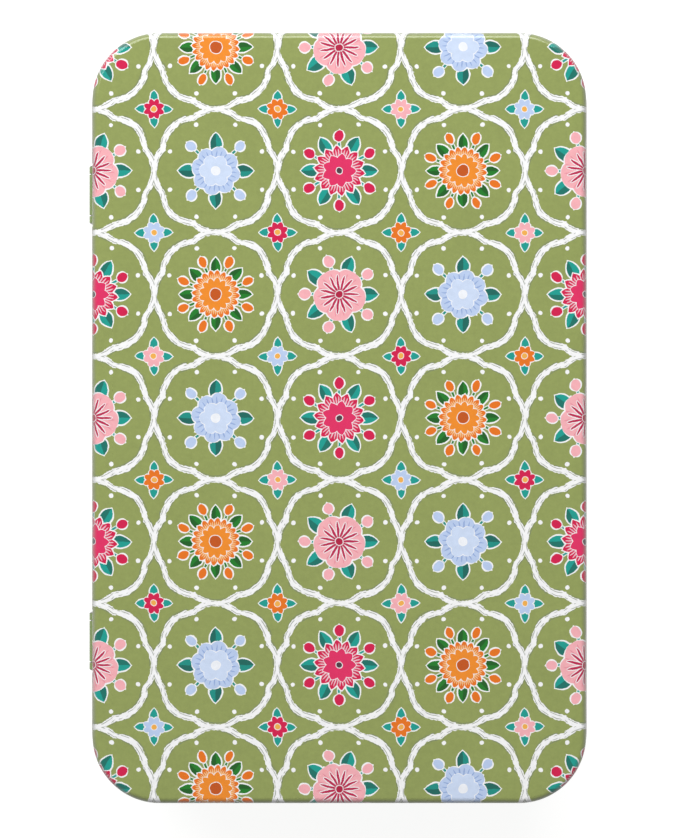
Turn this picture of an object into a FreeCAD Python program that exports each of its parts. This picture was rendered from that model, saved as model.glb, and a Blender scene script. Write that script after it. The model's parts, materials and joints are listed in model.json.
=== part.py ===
import FreeCAD, Part
import math
import os

# Hinged tinplate box for papers and keepsakes, lid closed.
# Three pressed sheets and two hinge wires: the lid with a rolled shoulder and
# a rolled lower edge, the wall with a rolled rim and a lock seam at the back,
# the bottom rolled together with the wall's lower edge.
# Millimetres. +Z is up, +Y runs along the box, the hinges are on the -X side,
# and the origin is on the table under the middle of the lid.

# Overall form
LID_WIDTH = 125.0
LID_LENGTH = 195.0
CLOSED_HEIGHT = 50.0
CORNER_RADIUS = 17.0
SHEET = 0.3

# Lid
LID_DEPTH = 12.5
SHOULDER_RADIUS = 1.8
LID_CURL_RADIUS = 0.8
LID_CURL_DEGREES = 290.0
LID_CLEARANCE = 0.65

# Wall
RIM_GAP = 0.3
RIM_CURL_RADIUS = 0.9
RIM_CURL_DEGREES = 290.0
LOCK_SEAM_WIDTH = 4.0
LOCK_SEAM_LAYERS = 3
LOCK_SEAM_END_GAP = 1.2
LOCK_GROOVE_WIDTH = 0.3
LOCK_GROOVE_DEPTH = 0.12

# Bottom seam: the plate's edge rolled round the wall's lower edge
SEAM_GAP = 0.03
SEAM_CURL_RADIUS = 1.1
SEAM_FLAT = 0.6
SEAM_MOUTH = 0.3
WALL_CURL_DEGREES = 150.0

# Bottom panel
PANEL_RISE = 2.4
PANEL_BEND = 0.8
LEDGE_WIDTH = 5.0
STEP_HEIGHT = 0.7
STEP_RUN = 1.6

# Hinges
HINGE_SPACING = 115.0
HINGE_LENGTH = 14.4
LID_KNUCKLE_SHARE = 0.72
KNUCKLE_END_GAP = 0.3
KNUCKLE_SKIRT_GAP = 0.12
SKIRT_EDGE_GAP = 0.3
KNUCKLE_CURL_DEGREES = 265.0
TAB_BEND = 0.3
TAB_SLIT = 0.25
WINDOW_END_GAP = 1.0
PIN_RADIUS = 0.55
PIN_CLEARANCE = 0.05
PIN_HEAD_OVERHANG = 0.2
PIN_HEAD_HEIGHT = 0.35
PIN_HEAD_GAP = 0.08

# Heights and offsets that follow from them; offsets are counted outwards
# from the outer face of the lid's skirt
half_width = LID_WIDTH / 2.0
half_length = LID_LENGTH / 2.0
lid_curl_inside = LID_CURL_RADIUS - SHEET
lid_curl_z = CLOSED_HEIGHT - LID_DEPTH + LID_CURL_RADIUS
wall_out = -SHEET - LID_CLEARANCE
wall_in = wall_out - SHEET
rim_top = CLOSED_HEIGHT - SHEET - RIM_GAP
rim_z = rim_top - RIM_CURL_RADIUS
plate_curl_inside = SEAM_CURL_RADIUS - SHEET
wall_curl_outside = plate_curl_inside - SEAM_GAP
wall_curl_inside = wall_curl_outside - SHEET
seam_first = wall_in + wall_curl_outside
seam_second = seam_first + SEAM_FLAT
seam_z = SEAM_CURL_RADIUS
plate_out = wall_in - SEAM_GAP
plate_in = plate_out - SHEET
knuckle_inside = PIN_RADIUS + PIN_CLEARANCE
knuckle_outside = knuckle_inside + SHEET
hinge_out = KNUCKLE_SKIRT_GAP + knuckle_outside
hinge_x = -half_width - hinge_out
hinge_z = lid_curl_z
edge_reach = knuckle_outside + SKIRT_EDGE_GAP
skirt_edge_z = hinge_z + math.sqrt(max(0.0, edge_reach ** 2 - hinge_out ** 2))
lid_knuckle = HINGE_LENGTH * LID_KNUCKLE_SHARE
wall_knuckle = (HINGE_LENGTH - lid_knuckle) / 2.0 - KNUCKLE_END_GAP


class Section:
    """A closed run of lines and arcs; u is counted outwards and v upwards."""

    def __init__(self, u, v):
        self.start = (u, v)
        self.here = (u, v)
        self.runs = []

    def line(self, u, v):
        """Straight run to a point."""
        self.runs.append((self.here, None, (u, v)))
        self.here = (u, v)

    def arc(self, u, v, degrees):
        """Arc about the centre u, v, anticlockwise when degrees is positive."""
        reach_u = self.here[0] - u
        reach_v = self.here[1] - v
        points = []
        for part in (0.5, 1.0):
            turn = math.radians(degrees * part)
            cos_turn = math.cos(turn)
            sin_turn = math.sin(turn)
            point_u = u + reach_u * cos_turn - reach_v * sin_turn
            point_v = v + reach_u * sin_turn + reach_v * cos_turn
            points.append((point_u, point_v))
        self.runs.append((self.here, points[0], points[1]))
        self.here = points[1]

    def radial(self, u, v, change):
        """Straight run towards or away from the centre u, v."""
        reach_u = self.here[0] - u
        reach_v = self.here[1] - v
        reach = math.hypot(reach_u, reach_v)
        scale = (reach + change) / reach
        self.line(u + reach_u * scale, v + reach_v * scale)

    def wire(self, place):
        """Closed wire; place turns u, v into a point in space."""
        if math.dist(self.here, self.start) > 1.0e-6:
            self.line(*self.start)
        edges = []
        for first, middle, last in self.runs:
            if middle is None:
                edges.append(Part.makeLine(place(*first), place(*last)))
            else:
                bow = Part.Arc(place(*first), place(*middle), place(*last))
                edges.append(bow.toShape())
        return Part.Wire(edges)


def outline(out, z):
    """Rounded rectangle at a distance out from the skirt's outer face."""
    across = half_width + out
    along = half_length + out
    radius = CORNER_RADIUS + out
    near_x = across - radius
    near_y = along - radius
    slope = radius * math.sqrt(0.5)
    edges = []
    last = FreeCAD.Vector(across, 0.0, z)
    corners = ((1, 1), (-1, 1), (-1, -1), (1, -1))
    for side_x, side_y in corners:
        on_long = FreeCAD.Vector(side_x * across, side_y * near_y, z)
        on_short = FreeCAD.Vector(side_x * near_x, side_y * along, z)
        bend_x = side_x * (near_x + slope)
        bend_y = side_y * (near_y + slope)
        bend = FreeCAD.Vector(bend_x, bend_y, z)
        enter = on_long
        leave = on_short
        if side_x * side_y < 0:
            enter = on_short
            leave = on_long
        edges.append(Part.makeLine(last, enter))
        edges.append(Part.Arc(enter, bend, leave).toShape())
        last = leave
    edges.append(Part.makeLine(last, FreeCAD.Vector(across, 0.0, z)))
    return Part.Wire(edges)


def carried_round(section):
    """Solid ring of a sheet section carried round the box."""
    def place(u, v):
        return FreeCAD.Vector(half_width + u, 0.0, v)
    return outline(0.0, 0.0).makePipeShell([section.wire(place)], True, False)


def slab(out, z_low, z_high):
    """Flat sheet that fills the outline at a distance out."""
    face = Part.Face(outline(out, z_low))
    return face.extrude(FreeCAD.Vector(0.0, 0.0, z_high - z_low))


def tab(section, y_low, width):
    """Strip of a hinge section on the back of the box."""
    def place(u, v):
        return FreeCAD.Vector(-half_width - u, y_low, v)
    face = Part.Face(section.wire(place))
    return face.extrude(FreeCAD.Vector(0.0, width, 0.0))


def back_block(out_low, out_high, y_mid, width, z_low, z_high):
    """Block on the back of the box, for windows and slits."""
    corner = FreeCAD.Vector(-half_width - out_high, y_mid - width / 2.0, z_low)
    return Part.makeBox(out_high - out_low, width, z_high - z_low, corner)


def lid_section():
    """Shoulder, skirt and rolled lower edge of the lid."""
    shoulder_z = CLOSED_HEIGHT - SHOULDER_RADIUS
    section = Section(-SHOULDER_RADIUS, CLOSED_HEIGHT)
    section.arc(-SHOULDER_RADIUS, shoulder_z, -90.0)
    section.line(0.0, lid_curl_z)
    section.arc(lid_curl_inside, lid_curl_z, LID_CURL_DEGREES)
    section.radial(lid_curl_inside, lid_curl_z, SHEET)
    section.arc(lid_curl_inside, lid_curl_z, -LID_CURL_DEGREES)
    section.line(-SHEET, shoulder_z)
    section.arc(-SHOULDER_RADIUS, shoulder_z, 90.0)
    return section


def wall_section():
    """Rolled rim, wall and lower curl of the body."""
    rim_u = wall_out - RIM_CURL_RADIUS
    section = Section(wall_out, seam_z)
    section.line(wall_out, rim_z)
    section.arc(rim_u, rim_z, RIM_CURL_DEGREES)
    section.radial(rim_u, rim_z, -SHEET)
    section.arc(rim_u, rim_z, -RIM_CURL_DEGREES)
    section.line(wall_in, seam_z)
    section.arc(seam_first, seam_z, 90.0)
    section.line(seam_second, seam_z - wall_curl_outside)
    section.arc(seam_second, seam_z, WALL_CURL_DEGREES)
    section.radial(seam_second, seam_z, -SHEET)
    section.arc(seam_second, seam_z, -WALL_CURL_DEGREES)
    section.line(seam_first, seam_z - wall_curl_inside)
    section.arc(seam_first, seam_z, -90.0)
    return section


def plate_section(inner):
    """Stepped panel edge, countersunk wall and rolled edge of the bottom."""
    bend_u = plate_out - PANEL_BEND - SHEET
    low = PANEL_RISE
    high = PANEL_RISE + STEP_HEIGHT
    ledge = plate_in - LEDGE_WIDTH
    bend_z = PANEL_RISE - PANEL_BEND
    mouth = wall_out + SEAM_MOUTH
    section = Section(inner, high)
    section.line(ledge - STEP_RUN, high)
    section.line(ledge, low)
    section.line(bend_u, low)
    section.arc(bend_u, bend_z, -90.0)
    section.line(plate_in, seam_z)
    section.arc(seam_first, seam_z, 90.0)
    section.line(seam_second, 0.0)
    section.arc(seam_second, seam_z, 180.0)
    section.line(mouth, 2.0 * SEAM_CURL_RADIUS)
    section.line(mouth, 2.0 * SEAM_CURL_RADIUS - SHEET)
    section.line(seam_second, 2.0 * SEAM_CURL_RADIUS - SHEET)
    section.arc(seam_second, seam_z, -180.0)
    section.line(seam_first, SHEET)
    section.arc(seam_first, seam_z, -90.0)
    section.line(plate_out, bend_z)
    section.arc(bend_u, bend_z, 90.0)
    section.line(ledge, low + SHEET)
    section.line(ledge - STEP_RUN, high + SHEET)
    section.line(inner, high + SHEET)
    return section


def lid_knuckle_section():
    """Tab bent out above the wire and curled down round it."""
    tab_z = hinge_z + knuckle_outside
    bend_z = tab_z + TAB_BEND
    section = Section(0.0, bend_z)
    section.arc(TAB_BEND, bend_z, 90.0)
    section.line(hinge_out, tab_z)
    section.arc(hinge_out, hinge_z, -KNUCKLE_CURL_DEGREES)
    section.radial(hinge_out, hinge_z, -SHEET)
    section.arc(hinge_out, hinge_z, KNUCKLE_CURL_DEGREES)
    section.line(TAB_BEND, tab_z - SHEET)
    section.arc(TAB_BEND, bend_z, -90.0)
    return section


def wall_knuckle_section():
    """Tab bent out below the wire and curled up round it."""
    tab_z = hinge_z - knuckle_outside
    bend_u = wall_out + TAB_BEND
    bend_z = tab_z - TAB_BEND
    section = Section(wall_out, bend_z)
    section.arc(bend_u, bend_z, -90.0)
    section.line(hinge_out, tab_z)
    section.arc(hinge_out, hinge_z, KNUCKLE_CURL_DEGREES)
    section.radial(hinge_out, hinge_z, -SHEET)
    section.arc(hinge_out, hinge_z, -KNUCKLE_CURL_DEGREES)
    section.line(bend_u, tab_z + SHEET)
    section.arc(bend_u, bend_z, 90.0)
    return section


def hinge_centres():
    """Middles of the two hinges along the back."""
    return (HINGE_SPACING / 2.0, -HINGE_SPACING / 2.0)


def wall_knuckle_middles(centre):
    """Middles of the two wall knuckles of a hinge."""
    reach = (HINGE_LENGTH - wall_knuckle) / 2.0
    return (centre + reach, centre - reach)


def make_lid():
    """Lid with its panel, hinge windows and two knuckles."""
    shape = carried_round(lid_section())
    panel = slab(-SHOULDER_RADIUS, CLOSED_HEIGHT - SHEET, CLOSED_HEIGHT)
    shape = shape.fuse(panel)
    window = HINGE_LENGTH + 2.0 * WINDOW_END_GAP
    beyond = 2.0 * LID_CURL_RADIUS
    below = hinge_z - beyond
    bend_z = hinge_z + knuckle_outside + TAB_BEND
    for centre in hinge_centres():
        inner = -SHEET - LID_CLEARANCE / 2.0
        gap = back_block(inner, beyond, centre, window, below, skirt_edge_z)
        shape = shape.cut(gap)
        curl_top = hinge_z + LID_CURL_RADIUS + SHEET
        clear = back_block(0.0, beyond, centre, window, below, curl_top)
        shape = shape.cut(clear)
        slit = lid_knuckle + 2.0 * TAB_SLIT
        relief = back_block(inner, beyond, centre, slit, below, bend_z)
        shape = shape.cut(relief)
        strip = tab(lid_knuckle_section(), centre - lid_knuckle / 2.0, lid_knuckle)
        shape = shape.fuse(strip)
    return shape.removeSplitter()


def make_wall():
    """Wall with its rim, lanced knuckles, lower curl and lock seam."""
    shape = carried_round(wall_section())
    bend_z = hinge_z - knuckle_outside - TAB_BEND
    middle_radius = (knuckle_inside + knuckle_outside) / 2.0
    curl_length = middle_radius * math.radians(KNUCKLE_CURL_DEGREES)
    blank = curl_length + hinge_out - wall_out
    inner = wall_in - SHEET
    outer = wall_out + SHEET
    for centre in hinge_centres():
        for middle in wall_knuckle_middles(centre):
            top = bend_z + blank
            lanced = back_block(inner, outer, middle, wall_knuckle, bend_z, top)
            shape = shape.cut(lanced)
            low = middle - wall_knuckle / 2.0
            strip = tab(wall_knuckle_section(), low, wall_knuckle)
            shape = shape.fuse(strip)
    seam_low = PANEL_RISE + STEP_HEIGHT + SHEET + LOCK_SEAM_END_GAP
    seam_high = rim_z - RIM_CURL_RADIUS - LOCK_SEAM_END_GAP
    seam_in = wall_in - LOCK_SEAM_LAYERS * SHEET
    ridge = back_block(seam_in, wall_in, 0.0, LOCK_SEAM_WIDTH, seam_low, seam_high)
    ridge = ridge.makeFillet(SHEET * 0.8, rounded_edges(ridge))
    shape = shape.fuse(ridge)
    groove_y = LOCK_SEAM_WIDTH / 2.0
    groove_in = wall_out - LOCK_GROOVE_DEPTH
    groove = back_block(groove_in, outer, groove_y, LOCK_GROOVE_WIDTH, seam_low, seam_high)
    return shape.cut(groove).removeSplitter()


def rounded_edges(block):
    """Edges of a lock seam's inner face."""
    inner_x = block.BoundBox.XMax
    edges = []
    for edge in block.Edges:
        if abs(edge.CenterOfMass.x - inner_x) < 1.0e-6:
            edges.append(edge)
    return edges


def make_bottom():
    """Bottom with its stepped panel and rolled edge."""
    inner = plate_in - LEDGE_WIDTH - 2.0 * STEP_RUN
    panel_z = PANEL_RISE + STEP_HEIGHT
    shape = carried_round(plate_section(inner))
    return shape.fuse(slab(inner, panel_z, panel_z + SHEET)).removeSplitter()


def make_pin(centre):
    """Hinge wire with domed, peened ends."""
    shaft_half = HINGE_LENGTH / 2.0 + PIN_HEAD_GAP
    head_radius = knuckle_inside + PIN_HEAD_OVERHANG
    half = Section(0.0, -shaft_half - PIN_HEAD_HEIGHT)
    dome_radius = (head_radius ** 2 + PIN_HEAD_HEIGHT ** 2) / (2.0 * PIN_HEAD_HEIGHT)
    dome_degrees = math.degrees(math.asin(head_radius / dome_radius))
    dome_v = shaft_half + PIN_HEAD_HEIGHT - dome_radius
    half.arc(0.0, -dome_v, dome_degrees)
    half.line(PIN_RADIUS, -shaft_half)
    half.line(PIN_RADIUS, shaft_half)
    half.line(head_radius, shaft_half)
    half.arc(0.0, dome_v, dome_degrees)
    middle = FreeCAD.Vector(hinge_x, centre, hinge_z)

    def place(u, v):
        return middle + FreeCAD.Vector(u, v, 0.0)
    face = Part.Face(half.wire(place))
    return face.revolve(middle, FreeCAD.Vector(0.0, 1.0, 0.0), 360.0)


def main():
    """Build every piece and write it out."""
    right, left = hinge_centres()
    nodes = {
        "lid_shell": make_lid(),
        "body_wall": make_wall(),
        "bottom_plate": make_bottom(),
        "hinge_pin_right": make_pin(right),
        "hinge_pin_left": make_pin(left),
    }
    os.makedirs("parts", exist_ok=True)
    for name, shape in nodes.items():
        solid = shape
        if shape.Solids:
            solid = shape.Solids[0]
        solid.exportStep("parts/" + name + ".step")
        box = solid.BoundBox
        print(name, len(shape.Solids), solid.isValid(), round(solid.Volume, 2),
              round(box.XMin, 3), round(box.XMax, 3), round(box.YMin, 3),
              round(box.YMax, 3), round(box.ZMin, 3), round(box.ZMax, 3))


main()
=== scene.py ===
"""Looks of a hinged tin box for papers and keepsakes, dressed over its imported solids.

The lid, the wall and the bottom are pressed sheets, so each is worked out again here as
a fine surface: a sheet profile carried round a rounded rectangle. The lid carries a
flower print that runs over its shoulder and down its skirt, because the sheet was
printed flat and pressed afterwards. Profiles and patterns are written in millimetres.
"""

import json
import logging
import math
from dataclasses import dataclass
from enum import IntEnum
from typing import Mapping, Sequence, Union

import bpy
import numpy as np
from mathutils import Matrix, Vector


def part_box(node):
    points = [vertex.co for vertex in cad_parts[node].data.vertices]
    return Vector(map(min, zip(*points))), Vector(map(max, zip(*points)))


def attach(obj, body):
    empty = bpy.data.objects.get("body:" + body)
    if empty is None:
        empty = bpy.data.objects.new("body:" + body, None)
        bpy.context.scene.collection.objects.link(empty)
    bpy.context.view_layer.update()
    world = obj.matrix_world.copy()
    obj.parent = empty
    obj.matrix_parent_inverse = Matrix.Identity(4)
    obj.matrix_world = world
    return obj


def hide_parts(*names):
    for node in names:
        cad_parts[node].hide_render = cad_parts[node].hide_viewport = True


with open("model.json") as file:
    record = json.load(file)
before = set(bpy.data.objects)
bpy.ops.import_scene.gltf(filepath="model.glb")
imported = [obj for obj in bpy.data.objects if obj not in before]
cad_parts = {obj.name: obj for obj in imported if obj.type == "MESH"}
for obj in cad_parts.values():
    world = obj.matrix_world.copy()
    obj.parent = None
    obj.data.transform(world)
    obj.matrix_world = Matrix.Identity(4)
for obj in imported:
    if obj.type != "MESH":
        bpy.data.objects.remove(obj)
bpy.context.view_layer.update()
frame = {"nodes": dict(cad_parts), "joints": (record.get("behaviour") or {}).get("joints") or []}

MM = 0.001
TAU = 2.0 * math.pi
SHEET_PLACE = "sheet_place"
FRAME_PIXELS = (682, 838)
SAME_PLACE = 1.0e-6
LONG_SIDE_STEPS = 40
SHORT_SIDE_STEPS = 20
CORNER_STEPS = 40
TAB_BEND_STEPS = 8
KNUCKLE_STEPS = 36
LOG = logging.getLogger("tin_box")


def linear(hex_colour: str) -> tuple[float, float, float, float]:
    """Turn an sRGB hex colour into linear light.

    Args:
        hex_colour: Six hex digits after a hash sign.

    Returns:
        Red, green, blue and alpha, each from 0 to 1.
    """
    parts = np.array([int(hex_colour[at:at + 2], 16) for at in (1, 3, 5)]) / 255.0
    low = parts / 12.92
    high = ((parts + 0.055) / 1.055) ** 2.4
    return (*np.where(parts <= 0.04045, low, high).tolist(), 1.0)


class Side(IntEnum):
    """Sides of a sheet in the order of a piece's material slots; a tab's outer side is plain."""

    OUTER = 0
    INNER = 1
    TAB = 2


@dataclass(frozen=True)
class TinSizes:
    """Sizes of the pressed sheets in millimetres, as the solids have them."""

    sheet: float = 0.3
    corner: float = 17.0
    shoulder: float = 1.8
    lid_curl: float = 0.8
    curl_turn: float = 290.0
    lid_clearance: float = 0.65
    rim_gap: float = 0.3
    rim_curl: float = 0.9
    seam_gap: float = 0.03
    seam_curl: float = 1.1
    seam_flat: float = 0.6
    seam_mouth: float = 0.3
    wall_curl_turn: float = 150.0
    panel_rise: float = 2.4
    panel_bend: float = 0.8
    ledge: float = 5.0
    step_height: float = 0.7
    step_run: float = 1.6
    lock_width: float = 4.0
    lock_layers: int = 3
    lock_end_gap: float = 1.2
    groove_width: float = 0.3
    groove_depth: float = 0.12
    hinge_spacing: float = 115.0
    hinge_length: float = 14.4
    lid_knuckle_share: float = 0.72
    knuckle_end_gap: float = 0.3
    knuckle_turn: float = 265.0
    skirt_edge_gap: float = 0.3
    tab_bend: float = 0.3
    tab_slit: float = 0.25
    window_end_gap: float = 1.0
    pin_radius: float = 0.55
    pin_clearance: float = 0.05

    @property
    def half_width(self) -> float:
        """Middle to the outer face of the lid's skirt, across the box."""
        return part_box("lid_shell")[1].x / MM - self.bead_reach

    @property
    def half_length(self) -> float:
        """Middle to the outer face of the lid's skirt, along the box."""
        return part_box("lid_shell")[1].y / MM - self.bead_reach

    @property
    def top(self) -> float:
        """Height of the lid's panel."""
        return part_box("lid_shell")[1].z / MM

    @property
    def bead_reach(self) -> float:
        """How far the lid's rolled edge stands out from its skirt."""
        return 2.0 * self.lid_curl - self.sheet

    @property
    def hinge_z(self) -> float:
        """Height of the hinge wires, which is that of the rolled edge."""
        return frame["joints"][0]["pos_m"][2] / MM

    @property
    def hinge_out(self) -> float:
        """Hinge wires outwards from the skirt's outer face."""
        return -frame["joints"][0]["pos_m"][0] / MM - self.half_width

    @property
    def knuckle_in(self) -> float:
        """Inside radius of a knuckle."""
        return self.pin_radius + self.pin_clearance

    @property
    def knuckle_out(self) -> float:
        """Outside radius of a knuckle."""
        return self.knuckle_in + self.sheet

    @property
    def lid_knuckle(self) -> float:
        """Width of the lid's knuckle."""
        return self.hinge_length * self.lid_knuckle_share

    @property
    def wall_knuckle(self) -> float:
        """Width of each of the wall's knuckles."""
        return (self.hinge_length - self.lid_knuckle) / 2.0 - self.knuckle_end_gap

    @property
    def wall_out(self) -> float:
        """Wall's outer face, outwards from the skirt's outer face."""
        return -self.sheet - self.lid_clearance

    @property
    def wall_in(self) -> float:
        """Wall's inner face, outwards from the skirt's outer face."""
        return self.wall_out - self.sheet

    @property
    def rim_z(self) -> float:
        """Height of the middle of the wall's rolled rim."""
        return self.top - self.sheet - self.rim_gap - self.rim_curl

    @property
    def wall_curl(self) -> float:
        """Outside radius of the wall's lower curl inside the bottom seam."""
        return self.seam_curl - self.sheet - self.seam_gap

    @property
    def seam_first(self) -> float:
        """Inner centre of the bottom seam's curls."""
        return self.wall_in + self.wall_curl

    @property
    def seam_second(self) -> float:
        """Outer centre of the bottom seam's curls."""
        return self.seam_first + self.seam_flat

    def hinge_centres(self) -> tuple[float, float]:
        """Middles of the two hinges along the back."""
        return self.hinge_spacing / 2.0, -self.hinge_spacing / 2.0

    def wall_knuckle_middles(self) -> list[float]:
        """Middles of all four wall knuckles along the back."""
        reach = (self.hinge_length - self.wall_knuckle) / 2.0
        return [middle + side * reach for middle in self.hinge_centres() for side in (1, -1)]


SIZES = TinSizes()


class Profile:
    """Run of points across a sheet: outwards from the skirt's face, and upwards."""

    def __init__(self, out: float, height: float) -> None:
        """Start at a point.

        Args:
            out: Distance outwards from the lid's skirt.
            height: Height above the table.
        """
        self._runs = [np.array([[out, height]])]
        self._sides: list[np.ndarray] = []

    @property
    def end(self) -> np.ndarray:
        """The last point so far."""
        return self._runs[-1][-1]

    @property
    def count(self) -> int:
        """Number of points so far."""
        return sum(len(run) for run in self._runs)

    def line(self, out: float, height: float, side: Side, steps: int = 1) -> "Profile":
        """Go straight to a point: start + (end - start) * t for t from 0 to 1.

        Args:
            out: Distance outwards of the end.
            height: Height of the end.
            side: Side of the sheet that the run is on.
            steps: Number of steps.

        Returns:
            The profile itself.
        """
        share = np.linspace(0.0, 1.0, steps + 1)[1:, None]
        self._add(self.end + (np.array([out, height]) - self.end) * share, side)
        return self

    def arc(self, out: float, height: float, turn: float, side: Side, steps: int) -> "Profile":
        """Turn the last point about a centre: centre + rotation(t * turn) * (start - centre).

        Args:
            out: Distance outwards of the centre.
            height: Height of the centre.
            turn: Turn in degrees, anticlockwise when positive.
            side: Side of the sheet that the run is on.
            steps: Number of steps.

        Returns:
            The profile itself.
        """
        angle = np.radians(turn) * np.linspace(0.0, 1.0, steps + 1)[1:]
        reach = self.end - (out, height)
        across = reach[0] * np.cos(angle) - reach[1] * np.sin(angle)
        upward = reach[0] * np.sin(angle) + reach[1] * np.cos(angle)
        self._add(np.stack([out + across, height + upward], 1), side)
        return self

    def radial(self, out: float, height: float, change: float, side: Side) -> "Profile":
        """Step towards or away from a centre by a change of radius.

        Args:
            out: Distance outwards of the centre.
            height: Height of the centre.
            change: Change of radius.
            side: Side of the sheet that the run is on.

        Returns:
            The profile itself.
        """
        reach = self.end - (out, height)
        goal = self.end + reach / np.hypot(*reach) * change
        return self.line(goal[0], goal[1], side)

    def _add(self, run: np.ndarray, side: Side) -> None:
        """Add a run of points and the side of each step."""
        self._runs.append(run)
        self._sides.append(np.full(len(run), int(side)))

    def points(self) -> np.ndarray:
        """All points, one row each."""
        return np.concatenate(self._runs)

    def sides(self) -> np.ndarray:
        """Side of the step that leads to each point after the first."""
        return np.concatenate(self._sides)


@dataclass(frozen=True)
class Walk:
    """Way round the box seen from above: places on the outline, and outward directions."""

    places: np.ndarray
    outward: np.ndarray

    @classmethod
    def round_box(cls, back_stops: Sequence[float] = ()) -> "Walk":
        """Go anticlockwise round the lid's outline from its +X side.

        Each straight side is even steps, plus the stops on the back; each corner is
        centre + radius * (cos, sin) over a quarter turn.

        Args:
            back_stops: Y places on the back where a window or a seam begins or ends.

        Returns:
            The way round, with no place given twice.
        """
        near_x = SIZES.half_width - SIZES.corner
        near_y = SIZES.half_length - SIZES.corner
        turn = np.linspace(0.0, math.pi / 2.0, CORNER_STEPS + 1)
        along = np.linspace(-near_y, near_y, LONG_SIDE_STEPS + 1)
        back = np.unique(np.concatenate([along, np.asarray(back_stops)]))[::-1]
        across = np.linspace(-near_x, near_x, SHORT_SIDE_STEPS + 1)
        sides = [(np.full(len(along), SIZES.half_width), along, 0.0),
                 (across[::-1], np.full(len(across), SIZES.half_length), math.pi / 2.0),
                 (np.full(len(back), -SIZES.half_width), back, math.pi),
                 (across, np.full(len(across), -SIZES.half_length), 1.5 * math.pi)]
        corners = [(near_x, near_y), (-near_x, near_y), (-near_x, -near_y), (near_x, -near_y)]
        places: list[np.ndarray] = []
        headings: list[np.ndarray] = []
        for (xs, ys, heading), centre in zip(sides, corners):
            places.append(np.stack([xs, ys], 1))
            headings.append(np.full(len(xs), heading))
            inner = heading + turn[1:-1]
            ring = np.stack([np.cos(inner), np.sin(inner)], 1)
            places.append(np.array(centre) + SIZES.corner * ring)
            headings.append(inner)
        heading = np.concatenate(headings)
        return cls(np.concatenate(places), np.stack([np.cos(heading), np.sin(heading)], 1))

    def back_rows(self, low: float, high: float) -> np.ndarray:
        """Find the places on the back between two Y places.

        Args:
            low: Lower Y place.
            high: Higher Y place.

        Returns:
            Their numbers, in order.
        """
        y = self.places[:, 1]
        on_back = np.abs(self.places[:, 0] + SIZES.half_width) < SAME_PLACE
        return np.flatnonzero(on_back & (y > low - SAME_PLACE) & (y < high + SAME_PLACE))


@dataclass
class Patch:
    """A surface: points in millimetres, faces by point number, and each face's side."""

    points: np.ndarray
    faces: list[np.ndarray]
    sides: list[np.ndarray]
    sheet_place: np.ndarray

    def add_faces(self, faces: np.ndarray, side: Side) -> None:
        """Add faces that all lie on one side of the sheet."""
        self.faces.append(faces)
        self.sides.append(np.full(len(faces), int(side)))

    def joined(self, other: "Patch") -> "Patch":
        """This surface and another one as one list of points and faces."""
        shift = len(self.points)
        return Patch(np.concatenate([self.points, other.points]),
                     self.faces + [rows + shift for rows in other.faces],
                     self.sides + other.sides,
                     np.concatenate([self.sheet_place, other.sheet_place]))

    def to_piece(self, name: str, smooth_below: float = 35.0) -> bpy.types.Object:
        """Make the surface a Blender piece in metres.

        Args:
            name: Name of the piece.
            smooth_below: Edges that turn by less than this, in degrees, are shaded smooth.

        Returns:
            The new object, at the origin, with the place on the flat sheet on its points.
        """
        used = np.unique(np.concatenate([rows.ravel() for rows in self.faces]))
        renumbered = np.zeros(len(self.points), int)
        renumbered[used] = np.arange(len(used))
        mesh = bpy.data.meshes.new(name)
        faces = [row for rows in self.faces for row in renumbered[rows].tolist()]
        mesh.from_pydata((self.points[used] * MM).tolist(), [], faces)
        mesh.polygons.foreach_set("material_index", np.concatenate(self.sides).astype(np.int32))
        flat = mesh.attributes.new(SHEET_PLACE, "FLOAT_VECTOR", "POINT")
        place = np.column_stack([self.sheet_place[used], np.zeros(len(used))])
        flat.data.foreach_set("vector", place.astype(np.float32).ravel())
        mesh.shade_smooth()
        mesh.set_sharp_from_angle(angle=math.radians(smooth_below))
        mesh.update()
        piece = bpy.data.objects.new(name, mesh)
        bpy.context.scene.collection.objects.link(piece)
        return piece


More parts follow.
